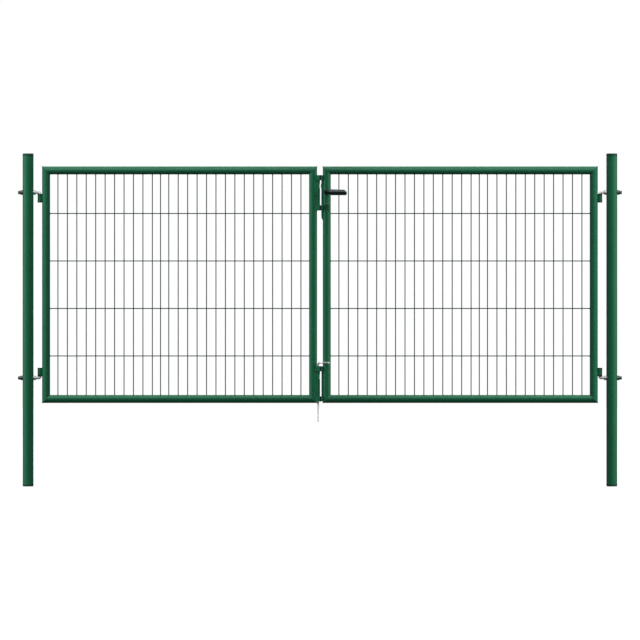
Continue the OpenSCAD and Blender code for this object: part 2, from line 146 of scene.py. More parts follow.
def unit(vector):
    """The vector at length 1."""
    return vector / np.linalg.norm(vector)


def span(node):
    """Lowest and highest corner of a CAD node, as arrays in metres."""
    low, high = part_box(node)
    return np.array(low), np.array(high)


def ends(node, side):
    """Places along X of a node's end towards its own post, and of its other end."""
    low, high = span(node)
    return (low[0], high[0]) if side == "left" else (high[0], low[0])


def vertices(node):
    """Points of a CAD node's mesh, in metres."""
    mesh = frame["nodes"][node].data
    points = np.empty(len(mesh.vertices) * 3)
    mesh.vertices.foreach_get("co", points)
    return points.reshape(-1, 3)


def rings(centres, across, up, a, b):
    """Rings round a path: point (i, j) is centre i, plus a(i, j) times its across vector, plus
    b(i, j) times its up vector."""
    return (centres[:, None] + a[..., None] * across[:, None] + b[..., None] * up[:, None])


def skin(stacks, looped=False):
    """Points and faces over stacks of rings. Quads join each ring to the next one; the last ring
    is joined to the first where looped, and otherwise both end rings are closed by a fan to their
    middle. A stack whose signed volume comes out negative gets its faces turned round."""
    stacks = np.asarray(stacks, float)
    if stacks.ndim == 3:
        stacks = stacks[None]
    count, rows, columns = stacks.shape[:3]
    row = np.arange(rows if looped else rows - 1)[:, None]
    column = np.arange(columns)[None, :]
    after = (column + 1) % columns
    upper = (row + 1) % rows
    quads = np.stack([row * columns + column, row * columns + after,
                      upper * columns + after, upper * columns + column], -1).reshape(-1, 4)
    points = stacks.reshape(count, rows * columns, 3)
    halves = np.concatenate([quads[:, :3], quads[:, [0, 2, 3]]])
    fans = np.empty((0, 3), int)
    if not looped:
        poles = stacks[:, [0, -1]].mean(2)
        points = np.concatenate([points, poles], 1)
        j, k = column[0], after[0]
        last = (rows - 1) * columns
        fans = np.concatenate([
            np.stack([k, j, np.full(columns, rows * columns)], -1),
            np.stack([last + j, last + k, np.full(columns, rows * columns + 1)], -1)])
    triangles = np.concatenate([halves, fans])
    corner = points[:, triangles]
    volume = np.einsum("ijk,ijk->i", corner[:, :, 0],
                       np.cross(corner[:, :, 1], corner[:, :, 2]))
    offset = np.arange(count)[:, None, None] * points.shape[1]
    turn = (volume < 0)[:, None, None]
    quads = np.where(turn, quads[None, :, ::-1], quads[None]) + offset
    fans = np.where(turn, fans[None, :, ::-1], fans[None]) + offset
    return points.reshape(-1, 3), quads.reshape(-1, 4), fans.reshape(-1, 3)


def piece(name, skins, body, coat, replaces=(), sharp=35.0):
    """One mesh object from the given skins, riding on a body and wearing the finish of a name.
    Edges that turn by more than the sharp angle, in degrees, stay crisp."""
    points, faces, start = [], [], 0
    for skin_points, quads, fans in skins:
        points.append(skin_points)
        faces += (quads + start).tolist() + (fans + start).tolist()
        start += len(skin_points)
    mesh = bpy.data.meshes.new(name)
    mesh.from_pydata(np.concatenate(points).tolist(), [], faces)
    mesh.shade_smooth()
    mesh.set_sharp_from_angle(angle=radians(sharp))
    mesh.materials.append(bpy.data.materials[coat])
    made = bpy.data.objects.new(name, mesh)
    bpy.context.scene.collection.objects.link(made)
    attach(made, body)
    if replaces:
        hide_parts(*replaces)


def circle(columns):
    """Angles of evenly spaced points round a circle."""
    return np.arange(columns) * 2 * pi / columns


def square_to(axis):
    """Two directions at right angles to an axis and to each other."""
    side = unit(np.cross(axis, Z if abs(axis[2]) < 0.5 else X))
    return side, np.cross(axis, side)


def lathe(profile, origin, axis, columns=64, looped=False):
    """Surface of revolution: a point of the profile (radius, height) goes round the axis, at
    origin + height * axis + radius * (cos v, sin v) across it."""
    profile = np.asarray(profile, float)
    side, other = square_to(axis)
    angle = circle(columns)
    spokes = np.cos(angle)[:, None] * side + np.sin(angle)[:, None] * other
    stack = (origin + profile[:, 1, None, None] * axis
             + profile[:, 0, None, None] * spokes[None])
    return skin(stack, looped)


def rounded_edge(radius, height, edge, steps=8, way=1):
    """Profile of a quarter circle that rounds the outer edge at (radius, height). It runs from
    (radius - edge, height) to (radius, height - way * edge)."""
    u = np.linspace(0, pi / 2, steps)
    return np.stack([radius - edge + edge * np.sin(u),
                     height - way * edge * (1 - np.cos(u))], -1)


def rounded(corners, radius, steps=5):
    """Outline with rounded corners: each corner gives way to an arc that touches both of its
    sides, at radius * tan(half the turn) from the corner."""
    corners = np.asarray(corners, float)
    back = np.roll(corners, 1, 0) - corners
    ahead = np.roll(corners, -1, 0) - corners
    back /= np.linalg.norm(back, axis=1, keepdims=True)
    ahead /= np.linalg.norm(ahead, axis=1, keepdims=True)
    half = np.arccos(np.clip((back * ahead).sum(1), -1, 1)) / 2
    middle = (back + ahead) / np.linalg.norm(back + ahead, axis=1, keepdims=True)
    centre = corners + middle * (radius / np.sin(half))[:, None]
    sweep = (pi / 2 - half)[:, None] * np.linspace(-1, 1, steps)[None]
    turn = np.sign(back[:, 0] * ahead[:, 1] - back[:, 1] * ahead[:, 0])[:, None]
    angle = np.arctan2(-middle[:, 1], -middle[:, 0])[:, None] - turn * sweep
    arc = centre[:, None] + radius * np.stack([np.cos(angle), np.sin(angle)], -1)
    return arc.reshape(-1, 2)


def rectangle(half_a, half_b, radius, steps=5):
    """Outline of a rectangle round its middle, with rounded corners."""
    return rounded([[-half_a, -half_b], [half_a, -half_b], [half_a, half_b], [-half_a, half_b]],
                   radius, steps)


def plates(outline, origin, axis, levels, side=X, up=Z):
    """Stack of one outline at several levels along an axis; each level is (height, inset), and
    an inset moves the outline's points towards its middle."""
    outline = np.asarray(outline, float)
    away = outline / np.linalg.norm(outline, axis=1, keepdims=True)
    levels = np.asarray(levels, float)
    flat = outline[None] - levels[:, 1, None, None] * away[None]
    return skin(origin + levels[:, 0, None, None] * axis
                + flat[..., :1] * side + flat[..., 1:] * up)


def along_bend(s, start, turn, end, radius):
    """A line from start towards turn, then to end, with a circular bend at the turn. Gives the
    point, the direction and the normal towards the bend's inside at each distance s."""
    first, last = turn - start, end - turn
    heading, leaving = unit(first), unit(last)
    angle = np.arccos(np.clip(heading @ leaving, -1, 1))
    cut = radius * np.tan(angle / 2)
    inside = unit(leaving - (heading @ leaving) * heading)
    straight = np.linalg.norm(first) - cut
    part = np.clip((s - straight) / radius, 0, angle)[:, None]
    before = np.minimum(s, straight)[:, None]
    beyond = np.maximum(s - straight - radius * angle, 0)[:, None]
    point = (start + before * heading + beyond * leaving
             + radius * (np.sin(part) * heading + (1 - np.cos(part)) * inside))
    return (point, np.cos(part) * heading + np.sin(part) * inside,
            np.cos(part) * inside - np.sin(part) * heading)


def bend_length(start, turn, end, radius):
    """Length of the line that along_bend follows."""
    first, last = turn - start, end - turn
    angle = np.arccos(np.clip(unit(first) @ unit(last), -1, 1))
    return (np.linalg.norm(first) + np.linalg.norm(last)
            - 2 * radius * np.tan(angle / 2) + radius * angle)


def rod(s, start, turn, end, bend, radius, columns=32):
    """Round rod along a bent line; radius is a number, or an array over (s, angle)."""
    centre, heading, inside = along_bend(s, start, turn, end, bend)
    across = np.cross(heading, inside)
    angle = circle(columns)[None, :]
    radius = radius * np.ones((len(s), columns))
    return skin(rings(centre, across, inside, radius * np.cos(angle), radius * np.sin(angle)))


def eased(distance, limit):
    """Rounds an end over the limit's length: a quarter circle from 0 to 1."""
    left = 1 - np.clip(distance / limit, 0, 1)
    return np.sqrt(1 - left ** 2)


# ---- Finishes ----

def node(tree, kind, inputs=None, **settings):
    """A shader node with its settings and inputs; a socket among the inputs is linked."""
    made = tree.nodes.new(kind)
    for key, value in settings.items():
        setattr(made, key, value)
    for key, value in (inputs or {}).items():
        if isinstance(value, bpy.types.NodeSocket):
            tree.links.new(value, made.inputs[key])
        else:
            made.inputs[key].default_value = value
    return made


def finish(name, metallic=0.0, specular=0.5):
    """Makes a material; gives its node tree, its shader and its object coordinates."""
    material = bpy.data.materials.new(name)
    material.use_nodes = True
    tree = material.node_tree
    shader = tree.nodes["Principled BSDF"]
    shader.inputs["Metallic"].default_value = metallic
    shader.inputs["Specular IOR Level"].default_value = specular
    place = node(tree, "ShaderNodeTexCoord").outputs["Object"]
    return tree, shader, place


def noise(tree, vector, scale, detail):
    """Cloudy pattern: a factor between 0 and 1."""
    return node(tree, "ShaderNodeTexNoise",
                {"Vector": vector, "Scale": scale, "Detail": detail}).outputs["Fac"]


def ranged(tree, value, low, high, first, last):
    """Value carried from low..high to first..last, and held within them."""
    return node(tree, "ShaderNodeMapRange",
                {"Value": value, "From Min": low, "From Max": high,
                 "To Min": first, "To Max": last}).outputs["Result"]


def mottle(tree, shader, factor, base, share):
    """Varies the base colour up and down by a share, led by a pattern's factor."""
    mixed = node(tree, "ShaderNodeMix", {"Factor": factor}, data_type="RGBA")
    mixed.inputs["A"].default_value = (*[c * (1 - share) for c in base], 1)
    mixed.inputs["B"].default_value = (*[min(c * (1 + share), 1) for c in base], 1)
    tree.links.new(mixed.outputs["Result"], shader.inputs["Base Color"])


def vary_roughness(tree, shader, factor, low, high):
    """Roughness between two values, led by the middle half of a pattern's factor."""
    tree.links.new(ranged(tree, factor, 0.25, 0.75, low, high), shader.inputs["Roughness"])


def relief(tree, shader, height, strength, depth):
    """Bump from a pattern's height, in metres of depth."""
    bump = node(tree, "ShaderNodeBump",
                {"Height": height, "Strength": strength, "Distance": depth})
    tree.links.new(bump.outputs["Normal"], shader.inputs["Normal"])


def powder_coating(name, base, specular):
    """Powder coating: slow changes of tone, orange peel about a millimetre across, and a gloss
    that varies from place to place."""
    tree, shader, place = finish(name, specular=specular)
    mottle(tree, shader, noise(tree, place, 2.3, 4.0), base, 0.12)
    vary_roughness(tree, shader, noise(tree, place, 17.0, 3.0), 0.28, 0.36)
    relief(tree, shader, noise(tree, place, 620.0, 2.0), 0.25, 0.0003)


def galvanised(name, base):
    """Hot-dip zinc, mostly its pale dull skin over a little bare metal: angular crystals a few
    millimetres across that differ in tone and gloss, under a fine grain."""
    tree, shader, place = finish(name, metallic=0.25)
    crystal = node(tree, "ShaderNodeTexVoronoi", {"Vector": place, "Scale": 240.0})
    tone = node(tree, "ShaderNodeSeparateColor", {"Color": crystal.outputs["Color"]})
    mottle(tree, shader, tone.outputs["Red"], base, 0.15)
    vary_roughness(tree, shader, tone.outputs["Green"], 0.36, 0.50)
    relief(tree, shader, noise(tree, place, 900.0, 3.0), 0.3, 0.0002)


def brushed_steel(name, base):
    """Bare steel with fine lines along Z, from noise stretched along it."""
    tree, shader, place = finish(name, metallic=1.0)
    stretched = node(tree, "ShaderNodeMapping", {"Vector": place, "Scale": (1.0, 1.0, 0.04)})
    lines = noise(tree, stretched.outputs["Vector"], 1800.0, 3.0)
    mottle(tree, shader, lines, base, 0.12)
    vary_roughness(tree, shader, lines, 0.24, 0.38)
    relief(tree, shader, lines, 0.15, 0.0001)


def moulded_plastic(name, base, low, high, specular):
    """Moulded plastic: a fine pebble grain and faint flow marks in the gloss."""
    tree, shader, place = finish(name, specular=specular)
    flow = noise(tree, place, 30.0, 3.0)
    mottle(tree, shader, flow, base, 0.15)
    vary_roughness(tree, shader, flow, low, high)
    pebble = node(tree, "ShaderNodeTexVoronoi", {"Vector": place, "Scale": 1300.0})
    relief(tree, shader, pebble.outputs["Distance"], 0.2, 0.0002)


# The finish that each of the record's material slots wears
COATS = {"green_coating": "green coating", "galvanised_steel": "zinc", "dark_metal": "dark metal",
         "cap_plastic": "cap plastic", "lever_plastic": "lever plastic"}


class GATE_OT_finishes(bpy.types.Operator):
    """Makes the finishes and puts them on the frame's own solids"""
    bl_idname = "gate.finishes"
    bl_label = "Finishes"

    def execute(self, context):
        colours = context.scene.gate_colours
        powder_coating("green coating", colours.coating, 0.22)
        # The wires' coating is a darker, greyer copy of the green coating, painted shade.
        powder_coating("shaded wire coating", colours.wires, 0.05)
        powder_coating("dark metal", colours.dark, 0.4)
        powder_coating("cylinder coating", colours.cylinder, 0.22)
        galvanised("zinc", colours.zinc)
        # The inner nuts' zinc is a darker copy of the zinc, painted shade.
        galvanised("shaded zinc", colours.shaded_zinc)
        brushed_steel("bare steel", colours.steel)
        moulded_plastic("cap plastic", colours.cap, 0.45, 0.6, 0.2)
        moulded_plastic("lever plastic", colours.plastic, 0.26, 0.36, 0.7)
        # Near-black, painted shade for the barrels' ends, the brackets' edges, the gaps round the
        # lugs and the keyway.
        moulded_plastic("shade_black", colours.shade_black, 0.55, 0.7, 0.12)
        for subpart in frame["record"]["subparts"]:
            coat = bpy.data.materials[COATS[subpart["material_slot"]]]
            for slot in frame["nodes"][subpart["node"]].material_slots:
                slot.material = coat
        return {"FINISHED"}


# ---- Mesh panels ----

def wire_axes(values, gap=0.012):
    """Middles of the groups that sorted values fall into, split where two are a gap apart."""
    values = np.sort(values)
    split = np.flatnonzero(np.diff(values) > gap)
    low = values[np.concatenate([[0], split + 1])]
    high = values[np.concatenate([split, [len(values) - 1]])]
    return (low + high) / 2


def wires(starts, heading, side, reach, radius, flare, columns):
    """Round wires from each start along a heading, whose ends reach into the frame. The radius
    grows at both ends by flare * (1 - distance / climb) squared, as the weld climbs the wire."""
    into, climb = 0.0012, 0.003
    s = np.concatenate([[-into], np.linspace(0, climb, 5), [reach / 2],
                        reach - np.linspace(climb, 0, 5), [reach + into]])
    near = np.clip(np.minimum(s, reach - s), 0, None)
    radii = radius + flare * np.clip(1 - near / climb, 0, 1) ** 2
    angle = circle(columns)
    spokes = (np.cos(angle)[:, None] * side
              + np.sin(angle)[:, None] * np.cross(heading, side))
    return skin(starts[:, None, None, :] + s[None, :, None, None] * heading
                + radii[None, :, None, None] * spokes[None, None])


def nuggets(middles, half):
    """Welds at the crossings: at each middle an ellipsoid, half * cos(u) wide and
    0.8 * half * sin(u) deep from front to back."""
    u = np.linspace(-1.25, 1.25, 6)
    angle = circle(8)
    spokes = np.cos(angle)[:, None] * X + np.sin(angle)[:, None] * Z
    return skin(middles[:, None, None, :]
                + half * (np.cos(u)[None, :, None, None] * spokes[None, None]
                          + 0.8 * np.sin(u)[None, :, None, None] * Y))


class GATE_OT_mesh_panels(bpy.types.Operator):
    """Round mesh wires with a weld at every crossing and at every end"""
    bl_idname = "gate.mesh_panels"
    bl_label = "Mesh panels"

    def execute(self, context):
        sizes = context.scene.gate_sizes
        for side in SIDES:
            name = f"{side}_mesh"
            low, high = span(name)
            points = vertices(name)
            foot = points[points[:, 2] < low[2] + 1e-5]
            end = points[points[:, 0] < low[0] + 1e-5]
            across, levels = wire_axes(foot[:, 0]), wire_axes(end[:, 2])
            radius = np.ptp(foot[:, 1]) / 2
            behind = (end[:, 1].min() + end[:, 1].max()) / 2
            if len(across) < 20 or len(levels) != 4:
                raise RuntimeError(f"{name} has {len(across)} by {len(levels)} wires")
            upright = np.stack([across, across * 0, across * 0 + low[2]], -1)
            level = np.stack([levels * 0 + low[0], levels * 0 + behind, levels], -1)
            grid_x, grid_z = np.meshgrid(across, levels)
            middles = np.stack([grid_x.ravel(), np.full(grid_x.size, behind / 2),
                                grid_z.ravel()], -1)
            tube = (radius, sizes.wire_flare, sizes.wire_sides)
            # The wires wear the darker copy of the green coating, painted shade.
            piece(f"{side}_mesh_wires",
                  [wires(upright, Z, X, high[2] - low[2], *tube),
                   wires(level, X, Y, high[0] - low[0], *tube), nuggets(middles, sizes.nugget)],
                  f"{side}_leaf", "shaded wire coating", replaces=(name,), sharp=60)
        return {"FINISHED"}


# ---- Welds ----

def bead(path, outward, half, ripple, height, closed=False):
    """Weld bead along a path: an oval, half wide and height high, that swells by a tenth in
    each ripple and, where not closed, runs out at both ends."""
    steps = np.diff(path, axis=0, append=path[:1] if closed else path[-1:])
    lengths = np.linalg.norm(steps, axis=1)
    s = np.concatenate([[0], np.cumsum(lengths)])[:-1]
    heading = (np.roll(path, -1, 0) - np.roll(path, 1, 0) if closed
               else np.gradient(path, axis=0))
    heading /= np.linalg.norm(heading, axis=1, keepdims=True)
    wide = np.cross(heading, outward)
    swell = 1 + 0.1 * np.abs(np.sin(pi * s / ripple))
    if not closed:
        swell = swell * eased(np.minimum(s, s[-1] - s) + 0.0002, 2 * half)
    angle = circle(10)[None, :]
    stack = rings(path, wide, outward, half * swell[:, None] * np.cos(angle),
                  height * swell[:, None] * np.sin(angle))
    return skin(stack, looped=closed)


def straight_bead(low, high, outward, half, ripple):
    """Bead along a straight line."""
    count = max(int(np.linalg.norm(high - low) / ripple * 3), 8)
    path = low + np.linspace(0, 1, count)[:, None] * (high - low)
    return bead(path, np.repeat(unit(outward)[None], count, 0), half, ripple, half)


def corner_bead(centre, radius, way_x, way_z, half, ripple):
    """Bead round a mitred corner. Both tubes end in the ellipse centre + radius * (way_x cos t,
    sin t, way_z cos t), and the bead follows it."""
    t = circle(300)
    spoke = np.stack([way_x * np.cos(t), np.sin(t), way_z * np.cos(t)], -1)
    outward = spoke / np.linalg.norm(spoke, axis=1, keepdims=True)
    return bead(centre + radius * spoke, outward, half, ripple, half * 0.35, closed=True)


def leaf_span(side):
    """Lowest and highest corner of a leaf's two stiles."""
    lows, highs = zip(span(f"{side}_outer_stile"), span(f"{side}_inner_stile"))
    return np.minimum(*lows), np.maximum(*highs)


def corner_beads(side, sizes):
    """Beads round the four mitred corners of a leaf's frame."""
    low, high = leaf_span(side)
    radius = high[1]
    return [corner_bead(np.array([x, 0, z]), radius, way_x, way_z, sizes.bead, sizes.ripple)
            for way_x, x in ((-1, low[0] + radius), (1, high[0] - radius))
            for way_z, z in ((-1, low[2] + radius), (1, high[2] - radius))]


def barrel_beads(side, sizes):
    """Beads down both grooves between a barrel and the outer stile. In plan the circles of the
    two meet at (gap squared + barrel squared - stile squared) / (2 gap) from the barrel's axis,
    where gap is the distance between their axes."""
    stile_x = np.mean(span(f"{side}_outer_stile"), 0)[0]
    stile = leaf_span(side)[1][1]
    half, short = sizes.bead, sizes.bush + 0.001
    beads = []
    for end in ("top", "bottom"):
        name = f"{side}_{end}_barrel"
        low, high = span(name)
        barrel = high[1]
        hinge = ends(name, side)[0] + SIDES[side] * barrel
        gap = abs(stile_x - hinge)
        share = (gap ** 2 + barrel ** 2 - stile ** 2) / (2 * gap)
        depth = np.sqrt(barrel ** 2 - share ** 2)
        for way in FACES.values():
            foot = np.array([hinge + SIDES[side] * share, way * (depth + half * 0.7), 0])
            beads.append(straight_bead(foot + (low[2] + short) * Z,
                                       foot + (high[2] - short) * Z,
                                       way * Y, half, sizes.ripple))
    return beads


def bracket_beads(side, sizes):
    """Four runs of bead down both edges of each bracket or plate on the inner stile. Both leaves
    are of the same tube, whose radius is taken from the right one."""
    stile_x = np.mean(span(f"{side}_inner_stile"), 0)[0]
    stile = leaf_span("right")[1][1]
    half, run, margin = sizes.bead, sizes.bead_run, 0.004
    beads = []
    for name in BRACKETS[side]:
        low, high = span(name)
        depth = high[1]
        out = np.sqrt(stile ** 2 - depth ** 2) + half * 0.1
        for way in FACES.values():
            foot = np.array([stile_x + SIDES[side] * out, way * depth, 0])
            beads += [straight_bead(foot + start * Z, foot + (start + run) * Z, way * Y,
                                    half * 0.8, sizes.ripple)
                      for start in np.linspace(low[2] + margin, high[2] - margin - run, 4)]
    return beads


def weld_piece(side, kind, beads):
    """One piece from all of a leaf's beads of one kind."""
    piece(f"{side}_{kind}_welds", beads, f"{side}_leaf", "green coating",
          sharp=70)


class GATE_OT_welds(bpy.types.Operator):
    """Weld beads at the frames' corners, the barrels, the brackets and the plates"""
    bl_idname = "gate.welds"
    bl_label = "Welds"

    def execute(self, context):
        sizes = context.scene.gate_sizes
        for side in SIDES:
            weld_piece(side, "corner", corner_beads(side, sizes))
            weld_piece(side, "barrel", barrel_beads(side, sizes))
        for side in SIDES:
            weld_piece(side, "bracket", bracket_beads(side, sizes))
        return {"FINISHED"}


# ---- Hook bolts and nuts ----

def hook_bolt(side, end, sizes):
    """Hook bolt: a rod bent at a right angle into the hinge pin. Where it is threaded its radius
    drops by depth * (1 - cos(2 pi (distance / pitch - angle / 2 pi))) / 2."""
    name = f"{side}_{end}_hinge_pin"
    low, high = span(name)
    radius = (high[1] - low[1]) / 2
    outer_x, inner_x = ends(name, side)
    pin_x = inner_x - SIDES[side] * radius
    nut_x = ends(f"{side}_{end}_inner_nut", side)[1]
    axis_z, tip_z = ((high[2] - radius, low[2]) if end == "top" else (low[2] + radius, high[2]))
    start = np.array([outer_x, 0, axis_z])
    turn = np.array([pin_x, 0, axis_z])
    tip = np.array([pin_x, 0, tip_z])
    bend = radius * 1.03
    total = bend_length(start, turn, tip, bend)
    elbow = abs(pin_x - outer_x) - bend
    zones = [(0.0, sizes.thread_end), (abs(nut_x - outer_x) - 0.001, elbow - 0.002)]
    run_out, chamfer, columns = 0.0008, 0.0016, 40
    s = np.unique(np.concatenate(
        [np.arange(a, b, sizes.thread_pitch / 8) for a, b in zones]
        + [np.linspace(elbow, elbow + bend * pi / 2, 15),
           [0, run_out, total / 2, total - 0.002, total - 0.001, total - 0.0004, total]]))
    threaded = np.zeros_like(s)
    for a, b in zones:
        fade = np.clip(np.minimum(s - a, b - s) / run_out + 0.2, 0, 1)
        threaded = np.maximum(threaded, fade * ((s >= a) & (s <= b)))
    wave = 0.5 - 0.5 * np.cos(2 * pi * s[:, None] / sizes.thread_pitch - circle(columns)[None])
    taper = 1 - 0.14 * (1 - eased(np.minimum(s, total - s), chamfer))
    radii = radius * taper[:, None] - sizes.thread_depth * threaded[:, None] * wave
    piece(f"{side}_{end}_hook_bolt", [rod(s, start, turn, tip, bend, radii, columns)], "posts",
          "zinc", replaces=(name,))


def hexagon_nut(name):
    """Hexagon nut with flats above and below, as a closed band round its bore. The outside is
    the smaller of the hexagon, flat / cos(angle from the nearest flat), and a 30 degree cone
    that cuts its corners."""
    low, high = span(name)
    flat, thick = (high[2] - low[2]) / 2, high[0] - low[0]
    centre = (low + high) / 2
    bore = flat * 0.665
    angle = circle(72)
    turned = (angle + pi / 6) % (pi / 3) - pi / 6
    hexagon = flat / np.cos(turned)
    x = np.array([0, 0.0004, 0.0008, 0.0012, 0.0018])
    x = np.concatenate([x, thick - x[::-1]])
    cone = flat * 0.95 + np.minimum(x, thick - x) * np.sqrt(3)
    outside = np.minimum(hexagon[None, :], cone[:, None])
    inner = np.full((1, len(angle)), bore)
    radii = np.concatenate([inner, inner * 1.06, outside, inner * 1.06, inner])
    x = np.concatenate([[0.0008, 0], x, [thick, thick - 0.0008]])
    spokes = np.cos(angle)[:, None] * Z + np.sin(angle)[:, None] * Y
    start = np.array([low[0], centre[1], centre[2]])
    stack = start + x[:, None, None] * X + radii[..., None] * spokes[None]
    # Inner nuts wear the darker copy of the zinc, painted shade for their place beside the post.
    coat, slot = (("dark metal", "dark_metal") if "outer" in name
                  else ("shaded zinc", "galvanised_steel"))
    piece(name + "_detail", [skin(stack, looped=True)], "posts", coat, replaces=(name,),
          sharp=20)


def thread_cap(side, end):
    """Plastic cap pushed over a hook bolt's outer end, from just beyond it to just short of the
    outer nut."""
    pin, nut = f"{side}_{end}_hinge_pin", f"{side}_{end}_outer_nut"
    low, high = span(pin)
    wall, beyond, edge, pole = 0.0008, 0.0006, 0.002, 0.0004
    radius = (high[1] - low[1]) / 2 + wall
    tip = ends(pin, side)[0]
    reach = abs(ends(nut, side)[0] - tip) - beyond
    profile = np.concatenate([
        [[pole, -beyond]], rounded_edge(radius, -beyond, edge, way=-1),
        [[radius, reach], [radius - 0.0004, reach + 0.0003], [pole, reach + 0.0003]]])
    origin = np.array([tip, 0, np.mean(span(nut), 0)[2]])
    piece(f"{side}_{end}_thread_cap", [lathe(profile, origin, SIDES[side] * X, 48)], "posts",
          "lever plastic")


def shade_rings(side, end, reach):
    """Near-black rings at both ends of a barrel, painted shade for its dark ends: each a thin
    collar round it that also covers the ring-shaped end face."""
    name = f"{side}_{end}_barrel"
    low, high = span(name)
    radius, bore = high[1], high[1] * 0.7
    collar, cover = radius + 0.0005, 0.0004
    axis_x = ends(name, side)[0] + SIDES[side] * radius
    profile = [[bore, -0.0002], [radius, -0.0002], [collar, cover], [collar, reach],
               [radius - cover, reach], [bore, cover]]
    rims = [lathe(profile, np.array([axis_x, 0, z]), way * Z, 64, looped=True)
            for z, way in ((low[2], 1), (high[2], -1))]
    piece(f"{side}_{end}_bushes", rims, f"{side}_leaf", "shade_black")


class GATE_OT_hinges(bpy.types.Operator):
    """Threaded hook bolts with a bent pin, chamfered nuts, thread caps and painted-shade barrel
    rings
    """
    bl_idname = "gate.hinges"
    bl_label = "Hinges"

    def execute(self, context):
        sizes = context.scene.gate_sizes
        for side in SIDES:
            for end in ("top", "bottom"):
                hook_bolt(side, end, sizes)
                thread_cap(side, end)
                shade_rings(side, end, sizes.bush)
                for nut in ("outer", "inner"):
                    hexagon_nut(f"{side}_{end}_{nut}_nut")
        return {"FINISHED"}


# ---- Post ends ----

def post_end(side, end, way, lip):
    """Moulded cap or foot. Its face falls by crown * (share of the radius) squared, and then
    come the rounded edge and the lip where it meets the tube."""
    low, high = span(f"{side}_post")
    name = f"{side}_post_{end}"
    tip, rim = (span(name)[1][2], high[2]) if way > 0 else (span(name)[0][2], low[2])
    radius, rise = high[1], abs(tip - rim)
    edge, crown = 0.0012, 0.0004 if way > 0 else 0.0
    profile = np.concatenate([
        np.stack([np.linspace(0.0005, radius - edge, 6),
                  rise - crown * np.linspace(0, 1, 6) ** 2], -1),
        rounded_edge(radius, rise - crown, edge, 9),
        [[radius, 0.0010], [radius + lip, 0.0004], [radius + lip, -0.0030],
         [radius + lip / 2, -0.0036], [radius - 0.0005, -0.0037]]])
    origin = np.array([(low[0] + high[0]) / 2, 0, rim])
    piece(name + "_detail", [lathe(profile, origin, way * Z, 96)], "posts", "cap plastic",
          replaces=(name,))


class GATE_OT_post_ends(bpy.types.Operator):
    """Moulded caps and feet, with a low crown on the caps, a rounded edge and a lip"""
    bl_idname = "gate.post_ends"
    bl_label = "Post ends"

    def execute(self, context):
        lip = context.scene.gate_sizes.lip
        for side in SIDES:
            post_end(side, "cap", 1, lip)
            post_end(side, "foot", -1, lip)
        return {"FINISHED"}


# ---- Drop bolt ----

class GATE_OT_drop_bolt(bpy.types.Operator):
    """Drop bolt: one rod whose upper end is bent into a handle"""
    bl_idname = "gate.drop_bolt"
    bl_label = "Drop bolt"

    def execute(self, context):
        sizes = context.scene.gate_sizes
        points = vertices("drop_bolt")
        low, high = points.min(0), points.max(0)
        foot = points[points[:, 2] < low[2] + 1e-5]
        radius = np.ptp(foot[:, 0]) / 2
        axis = (foot.min(0) + foot.max(0)) / 2
        far = points[points[:, 0] > high[0] - 0.001].mean(0)
        start = np.array([axis[0], axis[1], low[2]])
        turn = np.array([axis[0], axis[1], high[2] - radius])
        end_way = unit(np.array([far[0] - axis[0], low[1] - axis[1] + radius * 0.7, 0]))
        reach = (points - turn) @ end_way
        end = turn + reach.max() * end_way
        total = bend_length(start, turn, end, sizes.bolt_bend)
        elbow = turn[2] - start[2] - sizes.bolt_bend
        s = np.unique(np.concatenate([
            [0, 0.0006, 0.0014, 0.0024, 0.0035], np.linspace(0.0035, elbow, 12),
            np.linspace(elbow, elbow + sizes.bolt_bend * pi / 2, 16),
            total - np.array([0, 0.0004, 0.001, 0.002, 0.003])]))
        radii = radius * (0.35 + 0.65 * eased(np.minimum(s, total - s) + 0.0002, 0.003))
        piece("drop_bolt_rod", [rod(s, start, turn, end, sizes.bolt_bend, radii[:, None])],
              "drop_bolt", "zinc", replaces=("drop_bolt",))
        return {"FINISHED"}


# ---- Painted shade on the brackets ----

def shade_edge_strip(face, half, rounding, foot, top, thick):
    """Near-black edge on a bracket, painted shade, between two heights: a section, thick outwards,
    that follows the bracket's plan round one arc, across its face and round the other arc."""
    angle = np.concatenate([np.linspace(-pi / 2, 0, 7), np.linspace(0, pi / 2, 7)])
    outward = np.stack([np.cos(angle), np.sin(angle), angle * 0], -1)
    shift = np.repeat([-1, 1], 7) * (half - rounding)
    path = (face - rounding) * X + shift[:, None] * Y + rounding * outward
    soft = 0.0004
    out = np.array([-0.0003, thick - soft, thick, thick, thick - soft, -0.0003])
    up = np.array([foot, foot, foot + soft, top - soft, top, top])
    return skin(path[:, None] + out[:, None] * outward[:, None] + up[:, None] * Z)


def shade_sleeves(face, low, high, half, lug, thick, reach):
    """Near-black sleeves round a bracket's two stop lugs, next to its face, painted shade for the
    gaps round them: rounded boxes that are thick all round."""
    half_x, half_z = reach / 2, lug / 2 + thick * 0.4
    front, edge = low[1] - thick * 0.7, 0.0006
    depth = -half - front + thick * 0.7
    levels = [[0, 0.0007], [edge, 0], [depth - edge, 0], [depth, 0.0007]]
    return [plates(rectangle(half_x, half_z, 0.002),
                   np.array([face + half_x, front, foot + lug / 2]), Y, levels)
            for foot in (low[2], high[2] - lug)]


